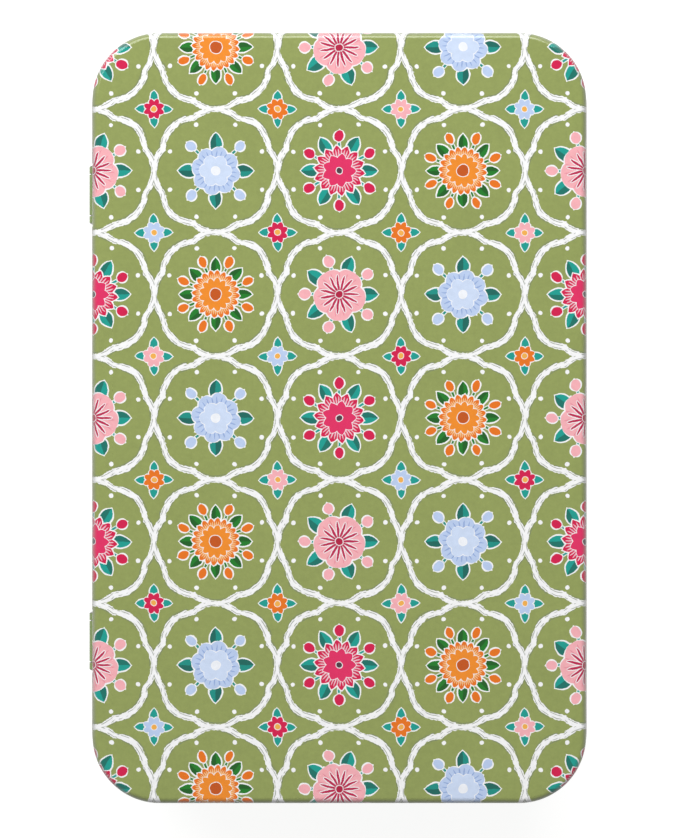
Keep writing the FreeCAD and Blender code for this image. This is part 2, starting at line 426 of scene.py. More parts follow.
class RolledSheet:
    """A sheet profile carried round the box, with or without a flat panel inside it."""

    PANEL_RINGS = 10

    def __init__(self, walk: Walk, profile: Profile, panel: bool) -> None:
        """Carry a profile round the box: place + outward * out, at the profile's height.

        With a panel, both ends of the profile go on as rings that shrink to the middle
        of the box. Without one, the profile closes on itself.

        Args:
            walk: Way round the box.
            profile: Profile, clockwise when +out is to the right and up is up.
            panel: Whether the ends of the profile meet a flat panel.
        """
        self.walk = walk
        self.profile = profile.points()
        self.sides = profile.sides()
        self.panel = panel
        out = self.profile[:, 0]
        flat = walk.places[:, None] + walk.outward[:, None] * out[None, :, None]
        height = np.broadcast_to(self.profile[None, :, 1], flat.shape[:2])
        self.grid = np.concatenate([flat, height[:, :, None]], 2)
        around, across = flat.shape[:2]
        steps = across - 1 if panel else across
        self.kept = np.ones((around, steps), bool)
        self.extra: list[tuple[np.ndarray, Side]] = []
        if not panel:
            self.sides = np.append(self.sides, int(Side.OUTER))

    def number(self, row: np.ndarray, column: np.ndarray) -> np.ndarray:
        """Point numbers of places round the box and points across the profile."""
        around, across = self.grid.shape[:2]
        return (np.asarray(row) % around) * across + np.asarray(column) % across

    def notch(self, rows: np.ndarray, first: int, last: int) -> None:
        """Cut the sheet away between two profile points, over a stretch of the way round.

        Args:
            rows: Places round the box, in order.
            first: Profile point on the outer side where the cut begins.
            last: Profile point on the inner side where it ends.
        """
        self.kept[rows[:-1, None], np.arange(first, last)[None]] = False
        here, there = rows[:-1], rows[1:]
        strip = [self.number(here, first), self.number(here, last),
                 self.number(there, last), self.number(there, first)]
        self.extra.append((np.stack(strip, 1), Side.INNER))

    def close_notches(self) -> None:
        """Close the ends of all notches by quads between matching points of the two sides.

        Point p of the outer side matches point steps - p of the inner one.
        """
        steps = self.kept.shape[1]
        here = self.kept[:, :steps // 2]
        before = np.roll(here, 1, axis=0)
        for ends, turned in ((before & ~here, False), (here & ~before, True)):
            row, step = np.nonzero(ends)
            cap = np.stack([self.number(row, step), self.number(row, step + 1),
                            self.number(row, steps - step - 1), self.number(row, steps - step)], 1)
            self.extra.append((cap[:, ::-1] if turned else cap, Side.INNER))

    def hole(self, rows: np.ndarray, outer: int, inner: int) -> None:
        """Cut a window through one step of the outer face and one of the inner face.

        Args:
            rows: Places round the box, in order.
            outer: Profile point at the window's top on the outer face.
            inner: Profile point at the window's foot on the inner face.
        """
        self.kept[rows[:-1], outer] = False
        self.kept[rows[:-1], inner] = False
        here, there = rows[:-1], rows[1:]
        for start, end in ((outer, inner + 1), (inner, outer + 1)):
            strip = [self.number(here, start), self.number(here, end),
                     self.number(there, end), self.number(there, start)]
            self.extra.append((np.stack(strip, 1), Side.INNER))
        for row, turned in ((rows[0], False), (rows[-1], True)):
            ring = np.array([[outer, outer + 1, inner, inner + 1]])
            cap = self.number(row, ring[:, ::-1] if turned else ring)
            self.extra.append((cap, Side.INNER))

    def push(self, rows: np.ndarray, columns: np.ndarray, out: float) -> None:
        """Move points outwards, over a stretch of the way round and of the profile."""
        shift = self.walk.outward[rows] * out
        self.grid[rows[:, None], columns[None], :2] += shift[:, None, :]

    def patch(self) -> Patch:
        """Turn the grid into a surface.

        Faces are quads between neighbours, profile first and then round the box, so
        that a clockwise profile faces outwards. Places on the flat sheet are the panel's
        edge plus the length run over the profile.

        Returns:
            The surface with its panel, if it has one.
        """
        across = self.grid.shape[1]
        row, column = np.nonzero(self.kept)
        quads = np.stack([self.number(row, column), self.number(row, column + 1),
                          self.number(row + 1, column + 1), self.number(row + 1, column)], 1)
        run = np.hypot(*np.diff(self.profile, axis=0).T)
        length = np.concatenate([[0.0], np.cumsum(run)])
        edge = self.walk.places + self.walk.outward * self.profile[0, 0]
        sheet_place = edge[:, None] + self.walk.outward[:, None] * length[None, :, None]
        patch = Patch(self.grid.reshape(-1, 3), [quads], [self.sides[column]],
                      sheet_place.reshape(-1, 2))
        for faces, side in self.extra:
            patch.add_faces(faces, side)
        if self.panel:
            self._close(patch, 0, Side.OUTER, False)
            self._close(patch, across - 1, Side.INNER, True)
        return patch

    def _close(self, patch: Patch, column: int, side: Side, turned: bool) -> None:
        """Fill one end of the profile with rings that shrink to a point in the middle.

        Args:
            patch: Surface that gets the panel.
            column: Profile point at the panel's edge.
            side: Side of the sheet that the panel is on.
            turned: Whether the panel faces down.
        """
        around = len(self.walk.places)
        ring = self.grid[:, column]
        share = np.linspace(1.0, 0.0, self.PANEL_RINGS + 1)[1:-1]
        rings = np.concatenate([ring[None, :, :2] * share[:, None, None],
                                np.broadcast_to(ring[None, :, 2:], (len(share), around, 1))], 2)
        start = len(patch.points)
        middle = np.array([[0.0, 0.0, ring[0, 2]]])
        added = np.concatenate([rings.reshape(-1, 3), middle])
        patch.points = np.concatenate([patch.points, added])
        patch.sheet_place = np.concatenate([patch.sheet_place, added[:, :2]])
        edge = self.number(np.arange(around), np.full(around, column))
        numbers = np.concatenate([edge[None], start + np.arange(len(added) - 1).reshape(-1, around)])
        after = np.roll(numbers, -1, axis=1)
        quads = np.stack([numbers[1:], numbers[:-1], after[:-1], after[1:]], 2).reshape(-1, 4)
        pole = np.full(around, start + len(added) - 1)
        fan = np.stack([pole, numbers[-1], after[-1]], 1)
        for faces in (quads, fan):
            patch.add_faces(faces[:, ::-1] if turned else faces, side)


def bent_strip(printed: Profile, bare: Profile, low: float, high: float, start: float) -> Patch:
    """Make a closed strip of sheet on the back of the box from its two faces.

    The strip is the profile carried straight along the box from low to high; its edges
    are quads between matching points of the two faces.

    Args:
        printed: Face that was the sheet's outer side, from the root to the tip.
        bare: Face that was its inner side, with as many points.
        low: Y place of one edge.
        high: Y place of the other edge.
        start: Distance of the root from the box's middle on the flat sheet.

    Returns:
        The strip, with its printed face as a tab's outer side.
    """
    rows = []
    for profile, y in ((printed, low), (printed, high), (bare, high), (bare, low)):
        out, height = profile.points().T
        rows.append(np.stack([-SIZES.half_width - out, np.full(len(out), y), height], 1))
    count = len(rows[0])
    numbers = np.arange(4 * count).reshape(4, count)
    points = np.concatenate(rows)
    run = np.hypot(*np.diff(printed.points(), axis=0).T)
    length = np.tile(np.concatenate([[0.0], np.cumsum(run)]), 4)
    patch = Patch(points, [], [], np.stack([-start - length, points[:, 1]], 1))
    after = np.roll(numbers, -1, axis=0)
    for face in range(4):
        quads = np.stack([numbers[face, :-1], numbers[face, 1:], after[face, 1:], after[face, :-1]], 1)
        patch.add_faces(quads, Side.TAB if face == 0 else Side.INNER)
    patch.add_faces(numbers[:, :1].T, Side.INNER)
    patch.add_faces(numbers[::-1, -1:].T, Side.INNER)
    return patch


def hinge_tab(root_out: float, root_z: float, side: int, middle: float, width: float,
              start: float) -> Patch:
    """Make a hinge knuckle: a tab bent out of a sheet's outer face and curled round the wire.

    From its root the tab turns outwards by a quarter, runs level past the wire and curls
    round it. Its two faces take the same way at the knuckle's outside and inside radius.
    Below the wire its edges change places, so that its faces still point outwards.

    Args:
        root_out: Sheet's outer face, outwards from the skirt's outer face.
        root_z: Height of the root.
        side: 1 for a tab that passes above the wire, -1 for one that passes below it.
        middle: Y place of the knuckle's middle.
        width: Width of the knuckle.
        start: Distance of the root from the box's middle on the flat sheet.

    Returns:
        The strip.
    """
    faces = []
    for depth, radius in ((0.0, SIZES.knuckle_out), (SIZES.sheet, SIZES.knuckle_in)):
        run = Profile(root_out - depth, root_z)
        run.arc(root_out + SIZES.tab_bend, root_z, side * 90.0, Side.OUTER, TAB_BEND_STEPS)
        run.line(SIZES.hinge_out, SIZES.hinge_z + side * radius, Side.OUTER)
        run.arc(SIZES.hinge_out, SIZES.hinge_z, -side * SIZES.knuckle_turn, Side.OUTER, KNUCKLE_STEPS)
        faces.append(run)
    half = side * width / 2.0
    return bent_strip(faces[0], faces[1], middle + half, middle - half, start)


Value = Union["Field", bpy.types.NodeSocket, float, Sequence[float]]


class Board:
    """Node board of one material or world."""

    def __init__(self, owner: Union[bpy.types.Material, bpy.types.World]) -> None:
        """Start an empty board.

        Args:
            owner: Material or world that the nodes belong to.
        """
        self.owner = owner
        owner.use_nodes = True
        self.nodes = owner.node_tree.nodes
        self.links = owner.node_tree.links
        self.nodes.clear()

    def add(self, kind: str, settings: Mapping[str, object] | None = None,
            links: Mapping[Union[str, int], Value] | None = None) -> bpy.types.Node:
        """Add a node with its settings and links.

        Args:
            kind: Blender's name for the node, without its prefix.
            settings: Properties of the node.
            links: What each input socket gets, a field or socket to link or a value to set.

        Returns:
            The new node.
        """
        node = self.nodes.new("ShaderNode" + kind)
        for name, setting in (settings or {}).items():
            setattr(node, name, setting)
        for name, value in (links or {}).items():
            source = value.socket if isinstance(value, Field) else value
            if isinstance(source, bpy.types.NodeSocket):
                self.links.new(source, node.inputs[name])
            else:
                node.inputs[name].default_value = source
        return node


@dataclass(frozen=True)
class Field:
    """A number at every place of a surface; sums with it become nodes on its board."""

    board: Board
    socket: bpy.types.NodeSocket

    def made(self, operation: str, *others: Value, clamp: bool = False) -> "Field":
        """Work out a named operation on this field and others.

        Args:
            operation: Blender's name for the operation.
            others: What the operation takes after this field.
            clamp: Whether to keep the outcome between 0 and 1.

        Returns:
            The outcome.
        """
        settings = {"operation": operation, "use_clamp": clamp}
        node = self.board.add("Math", settings, dict(enumerate((self, *others))))
        return Field(self.board, node.outputs[0])

    def __add__(self, other: Value) -> "Field":
        """Sum."""
        return self.made("ADD", other)

    def __sub__(self, other: Value) -> "Field":
        """Difference."""
        return self.made("SUBTRACT", other)

    def __mul__(self, other: Value) -> "Field":
        """Product."""
        return self.made("MULTIPLY", other)

    def __truediv__(self, other: Value) -> "Field":
        """Quotient."""
        return self.made("DIVIDE", other)

    def __abs__(self) -> "Field":
        """Size without sign."""
        return self.made("ABSOLUTE")

    def inside(self, soft: float) -> "Field":
        """1 where the field is above zero and 0 below, with an edge soft millimetres wide."""
        return self.made("MULTIPLY_ADD", 1.0 / soft, 0.5, clamp=True)


@dataclass(frozen=True)
class Patches:
    """Soft uneven patches: length in millimetres, share of change and middle level."""

    length: float
    share: float
    middle: float = 1.0
    detail: float = 3.0

    def level(self, board: Board, place: Value, unit: float) -> Field:
        """Work out the level at each place: middle + share * (noise - 1 / 2).

        Args:
            board: Board of the material.
            place: Place on the surface.
            unit: One millimetre in the place's own unit.

        Returns:
            The level.
        """
        links = {"Vector": place, "Scale": 1.0 / (self.length * unit), "Detail": self.detail}
        noise = Field(board, board.add("TexNoise", {}, links).outputs["Fac"])
        return noise.made("MULTIPLY_ADD", self.share, self.middle - self.share / 2.0)


def uneven(board: Board, colour: Value, place: Value, patches: Sequence[Patches],
           unit: float) -> bpy.types.NodeSocket:
    """Make a colour lighter and darker in patches: the colour times each level in turn.

    Args:
        board: Board of the material.
        colour: Colour without patches.
        place: Place on the surface.
        patches: Patches to lay over each other.
        unit: One millimetre in the place's own unit.

    Returns:
        Socket with the uneven colour.
    """
    for patch in patches:
        links = {0: 1.0, 6: colour, 7: patch.level(board, place, unit)}
        colour = board.add("Mix", {"data_type": "RGBA", "blend_type": "MULTIPLY"}, links).outputs[2]
    return colour


@dataclass(frozen=True)
class Spot:
    """Where a place lies from a motif's middle: distance in millimetres, and angle."""

    radius: Field
    angle: Field

    @classmethod
    def of(cls, x: Field, y: Field) -> "Spot":
        """Root of x squared plus y squared, and the angle whose tangent is y over x."""
        return cls((x * x + y * y).made("SQRT"), y.made("ARCTAN2", x))

    def folded(self, count: Value, turn: float) -> tuple[Field, Field]:
        """Fold the plane into one of several equal wedges about the middle.

        The angle is counted in wedges and wrapped to half a wedge either side of a middle
        line; run is radius * cos and across is radius * sin of what is left of it.

        Args:
            count: Number of wedges.
            turn: Share of a wedge by which they are turned.

        Returns:
            Run along the wedge's middle line and place across it, in millimetres.
        """
        fold = (self.angle * (1.0 / TAU)).made("MULTIPLY_ADD", count, turn).made("WRAP", -0.5, 0.5)
        lean = (fold * TAU) / count
        return self.radius * lean.made("COSINE"), self.radius * lean.made("SINE")


@dataclass(frozen=True)
class PetalRing:
    """Ring of equal petals, leaves or strokes about a motif's middle, in millimetres.

    Bluntness is 1 for pointed petals and 0.5 for oval ones. Turn is the share of a petal by
    which the ring is turned.
    """

    count: Value
    start: Value
    reach: Value
    half_width: Value
    bluntness: Value
    turn: float = 0.0

    def at(self, spot: Spot) -> tuple[Field, Field]:
        """Measure how far inside a petal each place is.

        Along the petal t runs from 0 at its start to 1 at its reach; the half width there
        is half_width * (4 t (1 - t)) ** bluntness, and the depth is that minus the distance
        from the petal's middle line, less what lies past either end.

        Args:
            spot: Place from the motif's middle.

        Returns:
            Depth inside a petal and place across it, in millimetres.
        """
        run, across = spot.folded(self.count, self.turn)
        along = ((run - self.start) / (self.reach - self.start)).made("ADD", 0.0, clamp=True)
        swell = ((along * -1.0 + 1.0) * along * 4.0).made("POWER", self.bluntness)
        past = (run - self.reach).made("MAXIMUM", run * -1.0 + self.start).made("MAXIMUM", 0.0)
        return swell * self.half_width - abs(across) - past, across


@dataclass(frozen=True)
class Flower:
    """One flower of the print, seen from above, in millimetres.

    Petals, inner petals and leaves are each a count, a reach and a half width. Traits are
    the petals' bluntness, the heart's radius and the buds' half width.
    """

    petals: tuple[float, float, float]
    inner: tuple[float, float, float]
    leaves: tuple[float, float, float]
    traits: tuple[float, float, float]
    petal_ink: str
    inner_ink: str
    stroke_ink: str
    heart_ink: str
    leaf_ink: str
    shade_ink: str


FLOWERS = (
    Flower(petals=(14.0, 6.4, 1.35), inner=(9.0, 4.3, 1.25), leaves=(6.0, 9.7, 1.45),
           traits=(0.8, 0.75, 1.15), petal_ink="#d40d4b", inner_ink="#e22a63",
           stroke_ink="#f6d3de", heart_ink="#4a3440", leaf_ink="#0b9d90", shade_ink="#0a6256"),
    Flower(petals=(20.0, 6.0, 0.95), inner=(13.0, 4.2, 0.9), leaves=(8.0, 9.2, 1.2),
           traits=(0.5, 1.5, 0.95), petal_ink="#e9740f", inner_ink="#f18d22",
           stroke_ink="#fbd39a", heart_ink="#c4540b", leaf_ink="#137a1f", shade_ink="#0a5214"),
    Flower(petals=(5.0, 6.6, 3.4), inner=(15.0, 4.9, 0.3), leaves=(5.0, 9.8, 1.6),
           traits=(0.42, 0.9, 1.2), petal_ink="#f7b1b8", inner_ink="#bd1d4e",
           stroke_ink="#e88c9c", heart_ink="#b3123f", leaf_ink="#0b9d90", shade_ink="#0a6256"),
    Flower(petals=(8.0, 6.2, 2.25), inner=(6.0, 4.1, 1.6), leaves=(4.0, 9.5, 1.5),
           traits=(0.5, 1.0, 1.1), petal_ink="#bccff0", inner_ink="#cfdef7",
           stroke_ink="#8aa4d6", heart_ink="#f2f5fb", leaf_ink="#0d8f83", shade_ink="#0a574d"),
)


@dataclass(frozen=True)
class FlowerKind:
    """Number of the kind of flower at each place."""

    number: Field

    def sizes(self, name: str) -> list[Field]:
        """Pick three sizes of the flower at each place.

        Args:
            name: Name of the sizes in Flower.

        Returns:
            The three sizes.
        """
        rows = [(*getattr(flower, name), 1.0) for flower in FLOWERS]
        parts = self.number.board.add("SeparateColor", {}, {0: self._picked(rows)})
        return [Field(self.number.board, parts.outputs[at]) for at in range(3)]

    def ink(self, name: str) -> bpy.types.NodeSocket:
        """One ink of the flower at each place."""
        return self._picked([linear(getattr(flower, name)) for flower in FLOWERS])

    def _picked(self, values: Sequence[Sequence[float]]) -> bpy.types.NodeSocket:
        """Pick a value by the kind's number, from a ramp of constant steps.

        Args:
            values: Four numbers for each kind.

        Returns:
            Socket with the picked value.
        """
        where = self.number.made("MULTIPLY_ADD", 1.0 / len(values), 0.5 / len(values))
        node = self.number.board.add("ValToRGB", {}, {0: where})
        ramp = node.color_ramp
        ramp.interpolation = "CONSTANT"
        while len(ramp.elements) < len(values):
            ramp.elements.new(1.0)
        for number, value in enumerate(values):
            ramp.elements[number].position = number / len(values)
            ramp.elements[number].color = value
        return node.outputs[0]


@dataclass
class Paint:
    """Inks laid over each other on one board, with the white that outlines them."""

    board: Board
    colour: Value
    white: Value
    edge: float

    def lay(self, ink: Value, mask: Field) -> None:
        """Lay an ink where a mask is 1."""
        links = {0: mask, 6: self.colour, 7: ink}
        self.colour = self.board.add("Mix", {"data_type": "RGBA"}, links).outputs[2]

    def outlined(self, depth: Field, ink: Value, outline: float) -> None:
        """Lay a shape in ink over the same shape in white, a little larger."""
        self.lay(self.white, (depth + outline).inside(self.edge))
        self.lay(ink, depth.inside(self.edge))


@dataclass(frozen=True)
class FlowerPrint:
    """Straight rows of foiled rings with a flower in each, on a plain ground.

    Sizes are millimetres on the flat sheet. Every line wavers a little, as a brush does:
    wavers are the lengths and reaches of its shifts. Sketch lines are the lengths of the
    breaks in thin lines along the rings, and their distances from the ring's middle line.
    """

    period: float = 31.2
    ring: float = 14.5
    foil: float = 1.1
    foils: int = 8
    band: float = 0.76
    band_fray: float = 0.9
    band_fray_length: float = 1.82
    bristle: float = 0.5
    bristle_length: float = 0.588
    stroke_squeeze: float = 2.0
    stroke_radius: float = 12.0
    bead_inset: float = 1.9
    bead_radius: float = 0.55
    sketch_lines: tuple[tuple[float, float], ...] = ((2.5, 0.95), (1.89, 0.42))
    sketch_half_width: float = 0.1
    sketch_edge: float = 0.08
    sketch_strength: float = 0.75
    break_edge: float = 0.06
    outline: float = 0.38
    fine_outline: float = 0.2
    ink_edge: float = 0.12
    shade_strength: float = 0.8
    petal_strokes: float = 3.0
    stroke_span: tuple[float, float] = (0.45, 0.86)
    stroke_strength: float = 0.85
    wavers: tuple[tuple[float, float], ...] = ((4.5, 0.7), (0.9, 0.2))
    # The printed grain is finer in truth; it is drawn at 0.7 mm so that it shows.
    ground_patches: tuple[Patches, ...] = (Patches(14.0, 0.14), Patches(0.7, 0.16))
    ink_patches: tuple[Patches, ...] = (Patches(1.6, 0.2),)
    ground_ink: str = "#929e59"
    white_ink: str = "#fafafb"
    line_ink: str = "#76806a"
    star_leaf_ink: str = "#0b9c90"
    star_heart_ink: str = "#f3b04e"
    star_heart: float = 0.7

    def colour(self, board: Board) -> bpy.types.NodeSocket:
        """Work out the print's colour from the place on the flat sheet.

        Args:
            board: Board of the printed material.

        Returns:
            Socket with the colour.
        """
        place = board.add("Attribute", {"attribute_name": SHEET_PLACE}).outputs["Vector"]
        x, y = self._wavered(board, place)
        column = (x / self.period).made("ROUND")
        row = (y / self.period).made("ROUND")
        kind = FlowerKind((column + row * 2.0).made("FLOORED_MODULO", float(len(FLOWERS))))
        spot = Spot.of(x - column * self.period, y - row * self.period)
        ground = uneven(board, linear(self.ground_ink), place, self.ground_patches, 1.0)
        paint = Paint(board, ground, linear(self.white_ink), self.ink_edge)
        self._ring(paint, spot)
        self._flower(paint, kind, spot)
        self._star(paint, x, y)
        return uneven(board, paint.colour, place, self.ink_patches, 1.0)

    def _wavered(self, board: Board, place: Value) -> tuple[Field, Field]:
        """Shift a place by a slow waver and a fine fraying: place + reach * (noise - 1 / 2).

        Args:
            board: Board of the printed material.
            place: Place on the flat sheet.

        Returns:
            Place across and along the sheet.
        """
        shifted = place
        for length, reach in self.wavers:
            noise = board.add("TexNoise", {}, {"Vector": place, "Scale": 1.0 / length, "Detail": 1.0})
            links = {0: noise.outputs["Color"], 1: (reach,) * 3, 2: (-0.5 * reach,) * 3}
            shift = board.add("VectorMath", {"operation": "MULTIPLY_ADD"}, links)
            links = {0: shifted, 1: shift.outputs[0]}
            shifted = board.add("VectorMath", {"operation": "ADD"}, links).outputs[0]
        parts = board.add("SeparateXYZ", {}, {0: shifted})
        return Field(board, parts.outputs[0]), Field(board, parts.outputs[1])

    def _ring(self, paint: Paint, spot: Spot) -> None:
        """Lay a white foiled ring as a brushed band, with beads inside it and thin broken lines.

        The band's middle line is ring + foil * |cos(foils / 2 * angle)|. Its half width
        changes by noise that is read by radius and by arc, so that bristles follow the ring.

        Args:
            paint: Inks so far.
            spot: Place from the ring's middle.
        """
        board = paint.board
        links = {0: spot.radius * self.stroke_squeeze, 1: spot.angle * self.stroke_radius}
        brush = board.add("CombineXYZ", {}, links).outputs[0]
        lobe = abs((spot.angle * (self.foils / 2.0)).made("COSINE"))
        off = abs(spot.radius - lobe.made("MULTIPLY_ADD", self.foil, self.ring))
        half: Union[float, Field] = self.band - (self.band_fray + self.bristle) / 2.0
        frays = ((self.band_fray_length, self.band_fray), (self.bristle_length, self.bristle))
        for length, reach in frays:
            noise = board.add("TexNoise", {}, {"Vector": brush, "Scale": 1.0 / length, "Detail": 2.0})
            half = Field(board, noise.outputs["Fac"]).made("MULTIPLY_ADD", reach, half)
        run, across = spot.folded(float(self.foils), 0.5)
        along = run - (self.ring - self.bead_inset)
        bead = (along * along + across * across).made("SQRT") * -1.0 + self.bead_radius
        paint.lay(paint.white, (half - off).made("MAXIMUM", bead).inside(self.ink_edge))
        for length, away in self.sketch_lines:
            noise = board.add("TexNoise", {}, {"Vector": brush, "Scale": 1.0 / length, "Detail": 1.0})
            broken = (Field(board, noise.outputs["Fac"]) - 0.5).inside(self.break_edge)
            line = (abs(off - away) * -1.0 + self.sketch_half_width).inside(self.sketch_edge)
            paint.lay(linear(self.line_ink), line * broken * self.sketch_strength)

    def _flower(self, paint: Paint, kind: FlowerKind, spot: Spot) -> None:
        """Lay leaves, buds on stems, two rings of petals with brush strokes, and the heart.

        Args:
            paint: Inks so far.
            kind: Kind of flower.
            spot: Place from the flower's middle.
        """
        count, reach, width = kind.sizes("petals")
        inner, inner_reach, inner_width = kind.sizes("inner")
        leaves, leaf_reach, leaf_width = kind.sizes("leaves")
        blunt, heart, bud_width = kind.sizes("traits")
        leaf_ink, petal_ink = kind.ink("leaf_ink"), kind.ink("petal_ink")
        stem, _ = PetalRing(leaves, start=4.0, reach=8.6, half_width=0.28, bluntness=0.3,
                            turn=0.5).at(spot)
        paint.outlined(stem, leaf_ink, self.fine_outline)
        bud, _ = PetalRing(leaves, start=7.3, reach=10.2, half_width=bud_width, bluntness=0.55,
                           turn=0.5).at(spot)
        paint.outlined(bud, petal_ink, self.outline)
        leaf, across = PetalRing(leaves, start=4.2, reach=leaf_reach, half_width=leaf_width,
                                 bluntness=0.85).at(spot)
        paint.outlined(leaf, leaf_ink, self.outline)
        shaded = leaf.inside(self.ink_edge) * across.inside(self.ink_edge)
        paint.lay(kind.ink("shade_ink"), shaded * self.shade_strength)
        petal, _ = PetalRing(count, start=0.6, reach=reach, half_width=width, bluntness=blunt,
                             turn=0.25).at(spot)
        paint.outlined(petal, petal_ink, self.outline)
        low, high = self.stroke_span
        stroke, _ = PetalRing(count * self.petal_strokes, start=reach * low, reach=reach * high,
                              half_width=0.16, bluntness=0.6, turn=0.25).at(spot)
        on_petal = stroke.inside(self.ink_edge) * petal.inside(self.ink_edge)
        paint.lay(kind.ink("stroke_ink"), on_petal * self.stroke_strength)
        cup, _ = PetalRing(inner, start=0.5, reach=inner_reach, half_width=inner_width,
                           bluntness=blunt).at(spot)
        paint.outlined(cup, kind.ink("inner_ink"), self.fine_outline)
        paint.outlined(heart - spot.radius, kind.ink("heart_ink"), outline=0.18)

    def _star(self, paint: Paint, x: Field, y: Field) -> None:
        """Lay a small star flower with four leaves between four rings.

        Args:
            paint: Inks so far.
            x: Place across the sheet.
            y: Place along the sheet.
        """
        column = (x / self.period).made("FLOOR")
        row = (y / self.period).made("FLOOR")
        spot = Spot.of((x / self.period - column - 0.5) * self.period,
                       (y / self.period - row - 0.5) * self.period)
        kind = FlowerKind((column + row).made("FLOORED_MODULO", float(len(FLOWERS))))
        leaf, _ = PetalRing(4.0, start=0.8, reach=4.7, half_width=0.95, bluntness=0.85).at(spot)
        paint.outlined(leaf, linear(self.star_leaf_ink), outline=0.3)
        petal, _ = PetalRing(8.0, start=0.3, reach=2.7, half_width=0.75, bluntness=0.6, turn=0.5).at(spot)
        paint.outlined(petal, kind.ink("petal_ink"), outline=0.26)
        paint.outlined(spot.radius * -1.0 + self.star_heart, linear(self.star_heart_ink), outline=0.15)


@dataclass(frozen=True)
class ShoulderWearAndSheen:
    """Ink worn thin along the lid's shoulder, where hands take hold, with a painted greyish reflection
    there; sizes in millimetres.

    The eye gets a narrow greyer line, patchy along its length, where the tin shows through and where a
    greyish reflection of the pale room is painted in.
    """

    depth: float = 0.75
    half_height: float = 0.45
    edge: float = 0.5
    # The patchy level and the grey below paint a greyish reflection along the shoulder as well as wear.
    thinning_and_sheen: Patches = Patches(4.0, 0.6, middle=0.4, detail=4.0)
    tin: str = "#8f928d"

    def over(self, board: Board, ink: Value) -> bpy.types.NodeSocket:
        """Mix the tin's grey, which also stands for a painted reflection, into the ink by a patchy level,
        in a band along the shoulder.

        The band is 1 within half_height of the level that lies depth below the panel, and
        fades to 0 over its edge.

        Args:
            board: Board of the printed material.
            ink: Print before it is worn, and before the painted reflection.

        Returns:
            Socket with the worn print and its painted reflection.
        """
        place = board.add("TexCoord").outputs["Object"]
        height = Field(board, board.add("SeparateXYZ", {}, {0: place}).outputs[2]) / MM
        away = abs(height - (SIZES.top - self.depth))
        band = (away * -1.0 + self.half_height).inside(self.edge)
        # Wear and painted reflection: the band greys the print evenly all round the shoulder.
        links = {0: band * self.thinning_and_sheen.level(board, place, MM), 6: ink, 7: linear(self.tin)}
        return board.add("Mix", {"data_type": "RGBA"}, links).outputs[2]


@dataclass(frozen=True)
class SatinVarnish:
    """Clear stoved varnish over ink; lengths in millimetres.

    It gives the eye a soft even sheen with a faint orange peel, a little duller or
    glossier where hands have rubbed it, and leaves the inks clear in colour.
    """

    roughness: Patches = Patches(9.0, 0.16, middle=0.2, detail=4.0)
    peel_length: float = 1.3
    peel_depth: float = 0.02
    peel_strength: float = 0.04
    ior: float = 1.5

    def over(self, board: Board, ink: Value) -> bpy.types.Material:
        """Finish a board with varnish: uneven roughness, and the peel's noise as bump.

        Args:
            board: Board that holds the ink's nodes.
            ink: Ink under the varnish.

        Returns:
            The finished material.
        """
        place = board.add("TexCoord").outputs["Object"]
        links = {"Vector": place, "Scale": 1.0 / (self.peel_length * MM), "Detail": 2.0}
        peel = board.add("TexNoise", {}, links).outputs["Fac"]
        links = {"Strength": self.peel_strength, "Distance": self.peel_depth * MM, "Height": peel}
        bump = board.add("Bump", {}, links).outputs[0]
        links = {"Base Color": ink, "Roughness": self.roughness.level(board, place, MM),
                 "IOR": self.ior, "Normal": bump}
        surface = board.add("BsdfPrincipled", {}, links)
        board.add("OutputMaterial", {}, {"Surface": surface.outputs[0]})
        return board.owner


@dataclass(frozen=True)
class PrintedTinplate:
    """Tinplate printed flat by offset and stoved under satin varnish, then pressed.

    The eye gets flat clear inks that run over the shoulder with the sheet, under a soft sheen.
    """

    design: FlowerPrint = FlowerPrint()
    # Worn ink along the shoulder, which also paints a greyish reflection there.
    wear_and_sheen: ShoulderWearAndSheen = ShoulderWearAndSheen()
    varnish: SatinVarnish = SatinVarnish()

    def material(self) -> bpy.types.Material:
        """Make the material: the print, worn and greyed by a painted reflection along the shoulder, under
        varnish.

        Returns:
            The material.
        """
        board = Board(bpy.data.materials.new("tinplate_offset_printed_satin_varnish"))
        ink = self.wear_and_sheen.over(board, self.design.colour(board))
        return self.varnish.over(board, ink)


@dataclass(frozen=True)
class CoatedTinplate:
    """Tinplate with one flat ink rolled on and stoved under the same satin varnish.

    The eye gets a plain soft green with the same sheen, a little uneven where the roller ran.
    """

    ink: str = "#8ea169"
    # The roller's stipple is finer in truth; it is drawn at 0.7 mm so that it shows.
    patches: tuple[Patches, ...] = (Patches(14.0, 0.14), Patches(0.7, 0.18))
    varnish: SatinVarnish = SatinVarnish()

    def material(self) -> bpy.types.Material:
        """Make the material: one ink in lighter and darker patches, under varnish.

        Returns:
            The material.
        """
        board = Board(bpy.data.materials.new("tinplate_roller_coated_satin_varnish"))
        place = board.add("TexCoord").outputs["Object"]
        return self.varnish.over(board, uneven(board, linear(self.ink), place, self.patches, MM))


